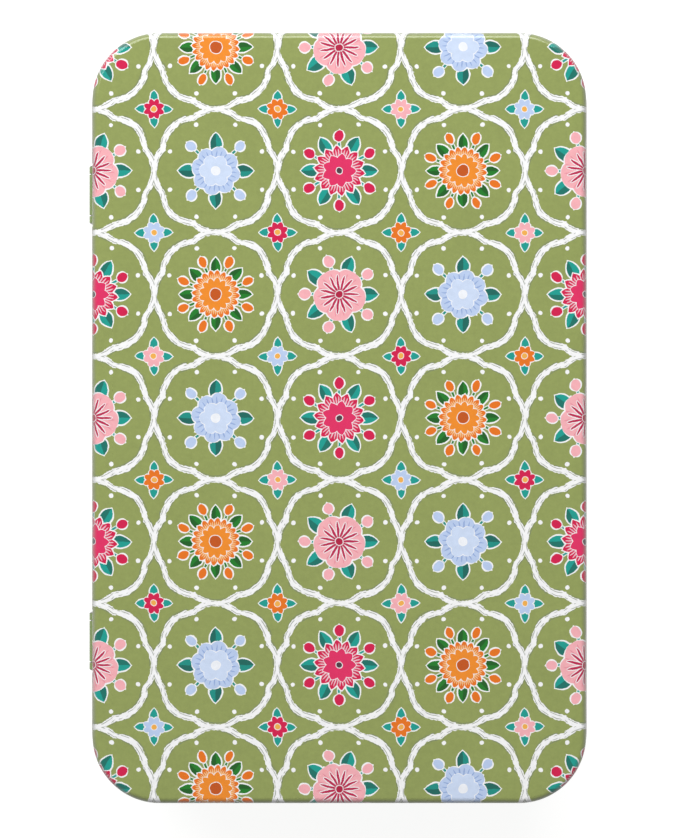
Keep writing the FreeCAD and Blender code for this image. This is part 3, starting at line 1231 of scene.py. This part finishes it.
@dataclass(frozen=True)
class BrightTinplate:
    """Steel sheet with a flow-brightened tin coat, as it leaves the rolling mill.

    The eye gets a clear grey mirror gone soft, with rolling lines along the sheet, drawn
    wider than they are so that they show, and pale cloudy patches where it was handled.
    """

    name: str = "tinplate_bright_rolled"
    colour: str = "#bbb9b4"
    clouds: tuple[Patches, ...] = (Patches(18.0, 0.2, middle=0.98, detail=4.0),)
    roughness: float = 0.55
    line_gloss: float = 0.14
    line_width: float = 0.35
    line_length: float = 14.0
    line_depth: float = 0.01
    line_strength: float = 0.08

    def material(self) -> bpy.types.Material:
        """Make the material: noise drawn out along the sheet, as roughness and as bump.

        Returns:
            The material.
        """
        board = Board(bpy.data.materials.new(self.name))
        place = board.add("TexCoord").outputs["Object"]
        across, along = 1.0 / (self.line_width * MM), 1.0 / (self.line_length * MM)
        drawn = board.add("Mapping", {}, {"Vector": place, "Scale": (across, along, across)}).outputs[0]
        lines = board.add("TexNoise", {}, {"Vector": drawn, "Scale": 1.0, "Detail": 3.0}).outputs["Fac"]
        gloss = (self.line_gloss, self.roughness - self.line_gloss / 2.0)
        links = {"Strength": self.line_strength, "Distance": self.line_depth * MM, "Height": lines}
        bump = board.add("Bump", {}, links).outputs[0]
        links = {"Base Color": uneven(board, linear(self.colour), place, self.clouds, MM), "Metallic": 1.0,
                 "Roughness": Field(board, lines).made("MULTIPLY_ADD", *gloss), "Normal": bump}
        surface = board.add("BsdfPrincipled", {}, links)
        board.add("OutputMaterial", {}, {"Surface": surface.outputs[0]})
        return board.owner


@dataclass(frozen=True)
class DrawnWire(BrightTinplate):
    """Steel wire drawn through a die, so its grain runs along it and it is greyer than tin."""

    name: str = "steel_wire_drawn"
    colour: str = "#a3a29e"
    roughness: float = 0.34
    line_width: float = 0.12
    line_length: float = 4.0


@dataclass
class Lid:
    """Lid: panel, shoulder, skirt, rolled edge with two hinge gaps, and two knuckles."""

    sizes: TinSizes
    outer: bpy.types.Material
    inner: bpy.types.Material
    tab: bpy.types.Material
    shoulder_steps: int = 20
    skirt_steps: int = 8
    curl_steps: int = 28

    def profile(self) -> tuple[Profile, tuple[int, int], tuple[int, int]]:
        """Cross the lid from its panel's edge over the shoulder and back inside.

        Returns:
            The profile, and the points on both sides at the foot of the skirt over a
            hinge and at the root of a knuckle.
        """
        size = self.sizes
        shoulder_z = size.top - size.shoulder
        curl_in = size.lid_curl - size.sheet
        run = Profile(-size.shoulder, size.top)
        run.arc(-size.shoulder, shoulder_z, -90.0, Side.OUTER, self.shoulder_steps)
        run.line(0.0, self.root_z, Side.OUTER, self.skirt_steps)
        root = run.count - 1
        run.line(0.0, self.edge_z, Side.OUTER)
        edge = run.count - 1
        run.line(0.0, size.hinge_z, Side.OUTER)
        run.arc(curl_in, size.hinge_z, size.curl_turn, Side.OUTER, self.curl_steps)
        run.radial(curl_in, size.hinge_z, size.sheet, Side.INNER)
        run.arc(curl_in, size.hinge_z, -size.curl_turn, Side.INNER, self.curl_steps)
        run.line(-size.sheet, self.edge_z, Side.INNER)
        edge_in = run.count - 1
        run.line(-size.sheet, self.root_z, Side.INNER)
        root_in = run.count - 1
        run.line(-size.sheet, shoulder_z, Side.INNER, self.skirt_steps)
        run.arc(-size.shoulder, shoulder_z, 90.0, Side.INNER, self.shoulder_steps)
        return run, (edge, edge_in), (root, root_in)

    @property
    def edge_z(self) -> float:
        """Foot of the skirt over a hinge, clear of the wall's knuckles."""
        size = self.sizes
        reach = size.knuckle_out + size.skirt_edge_gap
        return size.hinge_z + math.sqrt(max(0.0, reach ** 2 - size.hinge_out ** 2))

    @property
    def root_z(self) -> float:
        """Height where a knuckle's tab bends out of the skirt."""
        return self.sizes.hinge_z + self.sizes.knuckle_out + self.sizes.tab_bend

    def knuckle(self, centre: float) -> Patch:
        """Make a tab that is bent out above the wire and curled down round it.

        On the flat sheet its root lies at the panel's edge, plus the shoulder's quarter arc,
        plus the run down the skirt.

        Args:
            centre: Y place of the hinge's middle.

        Returns:
            The strip.
        """
        size = self.sizes
        panel_edge = size.half_width - size.shoulder
        arc = size.shoulder * math.pi / 2.0
        skirt = size.top - size.shoulder - self.root_z
        return hinge_tab(0.0, self.root_z, 1, centre, size.lid_knuckle, panel_edge + arc + skirt)

    def build(self) -> bpy.types.Object:
        """Build the lid as one piece.

        Returns:
            The piece.
        """
        size = self.sizes
        window = size.hinge_length / 2.0 + size.window_end_gap
        slit = size.lid_knuckle / 2.0 + size.tab_slit
        stops = [centre + side * reach for centre in size.hinge_centres()
                 for reach in (window, slit) for side in (1, -1)]
        walk = Walk.round_box(stops)
        profile, edge, root = self.profile()
        sheet = RolledSheet(walk, profile, panel=True)
        for centre in size.hinge_centres():
            for low, high in ((centre + slit, centre + window), (centre - window, centre - slit)):
                sheet.notch(walk.back_rows(low, high), *edge)
            sheet.notch(walk.back_rows(centre - slit, centre + slit), *root)
        sheet.close_notches()
        patch = sheet.patch()
        for centre in size.hinge_centres():
            patch = patch.joined(self.knuckle(centre))
        return patch.to_piece("lid_sheet")

    def dress(self, piece: bpy.types.Object) -> None:
        """Give the lid its print, its bright inside and plain tabs, and hang it on its body.

        Args:
            piece: The built lid.
        """
        for material in (self.outer, self.inner, self.tab):
            piece.data.materials.append(material)
        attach(piece, "lid")
        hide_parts("lid_shell")


@dataclass
class Wall:
    """Wall of the base: rolled rim, lanced knuckles, lock seam and lower curl."""

    sizes: TinSizes
    outer: bpy.types.Material
    inner: bpy.types.Material
    curl_steps: int = 28
    seam_steps: int = 10
    hook_steps: int = 16
    edge_sharpness: float = 0.02

    def profile(self) -> tuple[Profile, dict[str, int]]:
        """Cross the wall from the tip of its rim down the outside and up the inside.

        Returns:
            The profile, and the points at the ends of windows and of the lock seam.
        """
        size = self.sizes
        rim_out = size.wall_out - size.rim_curl
        curl_in = size.wall_curl - size.sheet
        seam_z = size.seam_curl
        tip = math.radians(size.curl_turn)
        marks: dict[str, int] = {}
        run = Profile(rim_out + size.rim_curl * math.cos(tip),
                      size.rim_z + size.rim_curl * math.sin(tip))
        run.arc(rim_out, size.rim_z, -size.curl_turn, Side.OUTER, self.curl_steps)
        for name, height in self.levels():
            run.line(size.wall_out, height, Side.OUTER)
            marks["outer_" + name] = run.count - 1
        run.line(size.wall_out, seam_z, Side.OUTER)
        run.arc(size.seam_first, seam_z, 90.0, Side.OUTER, self.seam_steps)
        run.line(size.seam_second, seam_z - curl_in, Side.OUTER)
        run.arc(size.seam_second, seam_z, size.wall_curl_turn, Side.OUTER, self.hook_steps)
        run.radial(size.seam_second, seam_z, size.sheet, Side.INNER)
        run.arc(size.seam_second, seam_z, -size.wall_curl_turn, Side.INNER, self.hook_steps)
        run.line(size.seam_first, seam_z - size.wall_curl, Side.INNER)
        run.arc(size.seam_first, seam_z, -90.0, Side.INNER, self.seam_steps)
        for name, height in reversed(self.levels()):
            run.line(size.wall_in, height, Side.INNER)
            marks["inner_" + name] = run.count - 1
        run.line(size.wall_in, size.rim_z, Side.INNER)
        run.arc(rim_out, size.rim_z, size.curl_turn, Side.INNER, self.curl_steps)
        return run, marks

    def levels(self) -> list[tuple[str, float]]:
        """List the heights on the wall where something begins or ends.

        A window is as high as the tab that was bent out of it was long: the way out to the
        wire plus the knuckle's turn at the middle of the sheet.

        Returns:
            Names and heights, from the top.
        """
        size = self.sizes
        curl = (size.knuckle_in + size.knuckle_out) / 2.0 * math.radians(size.knuckle_turn)
        blank = curl + size.hinge_out - size.wall_out
        seam_low = size.panel_rise + size.step_height + size.sheet + size.lock_end_gap
        seam_high = size.rim_z - size.rim_curl - size.lock_end_gap
        return [("seam_top", seam_high), ("seam_high", seam_high - self.edge_sharpness),
                ("window_top", self.root_z + blank), ("window_foot", self.root_z),
                ("seam_low", seam_low + self.edge_sharpness), ("seam_foot", seam_low)]

    @property
    def root_z(self) -> float:
        """Height where a knuckle's tab bends out of the wall."""
        return self.sizes.hinge_z - self.sizes.knuckle_out - self.sizes.tab_bend

    def knuckle(self, middle: float) -> Patch:
        """Make a tab that is bent out below the wire and curled up round it.

        Args:
            middle: Y place of the knuckle's middle.

        Returns:
            The strip.
        """
        size = self.sizes
        return hinge_tab(size.wall_out, self.root_z, -1, middle, size.wall_knuckle, size.half_width)

    def build(self) -> bpy.types.Object:
        """Build the wall as one piece.

        Returns:
            The piece.
        """
        size = self.sizes
        sharp = self.edge_sharpness
        half = size.wall_knuckle / 2.0
        lock = size.lock_width / 2.0
        groove = (lock - size.groove_width / 2.0, lock + size.groove_width / 2.0)
        stops = [middle + side * half for middle in size.wall_knuckle_middles() for side in (1, -1)]
        for low, high in ((-lock, lock), groove):
            stops += [low, low + sharp, high - sharp, high]
        walk = Walk.round_box(stops)
        profile, marks = self.profile()
        sheet = RolledSheet(walk, profile, panel=False)
        for middle in size.wall_knuckle_middles():
            rows = walk.back_rows(middle - half, middle + half)
            sheet.hole(rows, marks["outer_window_top"], marks["inner_window_foot"])
        inside = np.arange(marks["inner_seam_low"], marks["inner_seam_high"] + 1)
        outside = np.arange(marks["outer_seam_high"], marks["outer_seam_low"] + 1)
        sheet.push(walk.back_rows(sharp - lock, lock - sharp), inside, -size.lock_layers * size.sheet)
        sheet.push(walk.back_rows(groove[0] + sharp, groove[1] - sharp), outside, -size.groove_depth)
        patch = sheet.patch()
        for middle in size.wall_knuckle_middles():
            patch = patch.joined(self.knuckle(middle))
        return patch.to_piece("wall_sheet")

    def dress(self, piece: bpy.types.Object) -> None:
        """Give the wall its green coat and its bright inside, and hang it on its body.

        Args:
            piece: The built wall.
        """
        for material in (self.outer, self.inner, self.outer):
            piece.data.materials.append(material)
        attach(piece, "base")
        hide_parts("body_wall")


@dataclass
class Bottom:
    """Bottom: stepped panel, countersunk edge, and the roll round the wall's lower curl."""

    sizes: TinSizes
    metal: bpy.types.Material
    curl_steps: int = 24
    bend_steps: int = 10

    def profile(self) -> Profile:
        """Cross the bottom from its panel out to the tip of the seam and back underneath.

        Returns:
            The profile.
        """
        size = self.sizes
        low, high = size.panel_rise, size.panel_rise + size.step_height
        plate_out = size.wall_in - size.seam_gap
        plate_in = plate_out - size.sheet
        bend_out = plate_in - size.panel_bend
        bend_z = low - size.panel_bend
        ledge = plate_in - size.ledge
        step = ledge - size.step_run
        seam_z = size.seam_curl
        roll = 2.0 * size.seam_curl
        mouth = size.wall_out + size.seam_mouth
        run = Profile(step - size.step_run, high + size.sheet)
        run.line(step, high + size.sheet, Side.INNER)
        run.line(ledge, low + size.sheet, Side.INNER)
        run.line(bend_out, low + size.sheet, Side.INNER)
        run.arc(bend_out, bend_z, -90.0, Side.INNER, self.bend_steps)
        run.line(plate_out, seam_z, Side.INNER)
        run.arc(size.seam_first, seam_z, 90.0, Side.INNER, self.bend_steps)
        run.line(size.seam_second, size.sheet, Side.INNER)
        run.arc(size.seam_second, seam_z, 180.0, Side.INNER, self.curl_steps)
        run.line(mouth, roll - size.sheet, Side.INNER)
        run.line(mouth, roll, Side.OUTER)
        run.line(size.seam_second, roll, Side.OUTER)
        run.arc(size.seam_second, seam_z, -180.0, Side.OUTER, self.curl_steps)
        run.line(size.seam_first, 0.0, Side.OUTER)
        run.arc(size.seam_first, seam_z, -90.0, Side.OUTER, self.bend_steps)
        run.line(plate_in, bend_z, Side.OUTER)
        run.arc(bend_out, bend_z, 90.0, Side.OUTER, self.bend_steps)
        run.line(ledge, low, Side.OUTER)
        run.line(step, high, Side.OUTER)
        run.line(step - size.step_run, high, Side.OUTER)
        return run

    def build(self) -> bpy.types.Object:
        """Build the bottom as one piece.

        Returns:
            The piece.
        """
        sheet = RolledSheet(Walk.round_box(), self.profile(), panel=True)
        return sheet.patch().to_piece("bottom_sheet")

    def dress(self, piece: bpy.types.Object) -> None:
        """Leave the bottom bare on both sides, and hang it on its body.

        Args:
            piece: The built bottom.
        """
        piece.data.materials.append(self.metal)
        piece.data.materials.append(self.metal)
        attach(piece, "base")
        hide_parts("bottom_plate")


@dataclass
class HingeWires:
    """The two hinge wires, which keep their solids' shape."""

    metal: bpy.types.Material
    nodes: tuple[str, str] = ("hinge_pin_right", "hinge_pin_left")

    def dress(self) -> None:
        """Give both wires their metal."""
        for name in self.nodes:
            mesh = frame["nodes"][name].data
            mesh.materials.clear()
            mesh.materials.append(self.metal)


@dataclass
class Studio:
    """Pale floor, one large soft lamp beyond the top of the picture, and the camera.

    Lengths are in metres, because nothing here belongs to the box. The outline's length and
    middle are those of the lid in the picture, in its pixels.
    """

    sizes: TinSizes
    floor_reach: float = 6.0
    paper: str = "#959593"
    glow: float = 0.88
    camera_rise: float = 0.54
    sensor_width: float = 36.0
    clip_start: float = 0.01
    outline_pixels: float = 770.0
    outline_centre: tuple[float, float] = (339.3, 418.0)
    lamp_place: tuple[float, float, float] = (-0.25, 1.0, 1.05)
    lamp_size: tuple[float, float] = (1.7, 0.76)
    lamp_power: float = 26.8
    fill: float = 0.27
    ceiling: float = 0.58
    horizon: tuple[float, float] = (0.1, 0.35)

    def build(self) -> None:
        """Set up the floor, the lamp, the sky and the camera."""
        self._floor()
        self._lamp()
        self._sky()
        self._camera()
        bpy.context.scene.view_settings.view_transform = "Standard"

    def _floor(self) -> None:
        """Pale paper under the box: white with the box's shadow from above, clear from below."""
        reach = self.floor_reach
        mesh = bpy.data.meshes.new("floor")
        corners = [(-reach, -reach, 0.0), (reach, -reach, 0.0), (reach, reach, 0.0), (-reach, reach, 0.0)]
        mesh.from_pydata(corners, [], [(0, 1, 2, 3)])
        floor = bpy.data.objects.new("floor", mesh)
        bpy.context.scene.collection.objects.link(floor)
        board = Board(bpy.data.materials.new("paper_matt_pale"))
        paper = board.add("BsdfDiffuse", {}, {"Color": linear(self.paper)})
        links = {"Color": linear("#ffffff"), "Strength": self._seen(board) * self.glow}
        glow = board.add("Emission", {}, links)
        both = board.add("AddShader", {}, {0: paper.outputs[0], 1: glow.outputs[0]})
        below = board.add("NewGeometry").outputs["Backfacing"]
        clear = board.add("BsdfTransparent").outputs[0]
        sheet = board.add("MixShader", {}, {0: below, 1: both.outputs[0], 2: clear})
        board.add("OutputMaterial", {}, {"Surface": sheet.outputs[0]})
        mesh.materials.append(board.owner)

    @staticmethod
    def _seen(board: Board) -> Field:
        """Tell rays that the camera sees, straight or by way of gloss and glass.

        Args:
            board: Board that gets the nodes.

        Returns:
            1 for such rays and 0 for the rest.
        """
        path = board.add("LightPath")
        seen = Field(board, path.outputs["Is Camera Ray"]).made("MAXIMUM", path.outputs["Is Glossy Ray"])
        return seen.made("MAXIMUM", path.outputs["Is Transmission Ray"])

    def _lamp(self) -> None:
        """Large soft lamp beyond the far end of the box, turned to its middle."""
        lamp = bpy.data.lights.new("soft_lamp", "AREA")
        lamp.shape = "RECTANGLE"
        lamp.size, lamp.size_y = self.lamp_size
        lamp.energy = self.lamp_power
        holder = bpy.data.objects.new("soft_lamp", lamp)
        holder.location = self.lamp_place
        aim = Vector((0.0, 0.0, self.sizes.top * MM)) - Vector(self.lamp_place)
        holder.rotation_euler = aim.to_track_quat("-Z", "Y").to_euler()
        bpy.context.scene.collection.objects.link(holder)

    def _sky(self) -> None:
        """Even dim fill from all round; camera and gloss see white walls and a grey ceiling."""
        world = bpy.data.worlds.new("studio_walls")
        board = Board(world)
        parts = board.add("SeparateXYZ", {}, {0: board.add("TexCoord").outputs["Generated"]})
        low, high = self.horizon
        band = (Field(board, parts.outputs[2]) * -1.0 + high).made("DIVIDE", high - low, clamp=True)
        walls = band.made("MULTIPLY_ADD", 1.0 - self.ceiling, self.ceiling)
        level = (walls * self._seen(board)).made("MAXIMUM", self.fill)
        back = board.add("Background", {}, {"Color": linear("#ffffff"), "Strength": level})
        board.add("OutputWorld", {}, {"Surface": back.outputs[0]})
        bpy.context.scene.world = world

    def _camera(self) -> None:
        """Camera straight above the lid, with the lid's outline at its place in the picture.

        The lens is sensor * distance / (picture height * metres in a pixel), and the
        camera stands off the middle by the outline's distance from the picture's middle.
        """
        sizes = self.sizes
        width, height = FRAME_PIXELS
        shoulder_z = (sizes.top - sizes.shoulder) * MM
        metres_per_pixel = 2.0 * sizes.half_length * MM / self.outline_pixels
        camera = bpy.data.cameras.new("camera")
        camera.sensor_width = self.sensor_width
        camera.clip_start = self.clip_start
        rise = self.camera_rise + sizes.shoulder * MM
        camera.lens = camera.sensor_width * rise / (height * metres_per_pixel)
        holder = bpy.data.objects.new("camera", camera)
        across = (width / 2.0 - self.outline_centre[0]) * metres_per_pixel
        along = (self.outline_centre[1] - height / 2.0) * metres_per_pixel
        holder.location = (across, along, shoulder_z + rise)
        bpy.context.scene.collection.objects.link(holder)
        bpy.context.scene.camera = holder


def main() -> None:
    """Build and dress every piece, and light the scene."""
    logging.basicConfig(level=logging.INFO, format="%(name)s: %(message)s")
    printed = PrintedTinplate().material()
    coated = CoatedTinplate().material()
    bright = BrightTinplate().material()
    wire = DrawnWire().material()
    for part in (Lid(SIZES, printed, bright, coated), Wall(SIZES, coated, bright), Bottom(SIZES, bright)):
        piece = part.build()
        part.dress(piece)
        LOG.info("%s: %d faces", piece.name, len(piece.data.polygons))
    HingeWires(wire).dress()
    LOG.info("hinge wires dressed")
    Studio(SIZES).build()


if __name__ == "__main__":
    main()
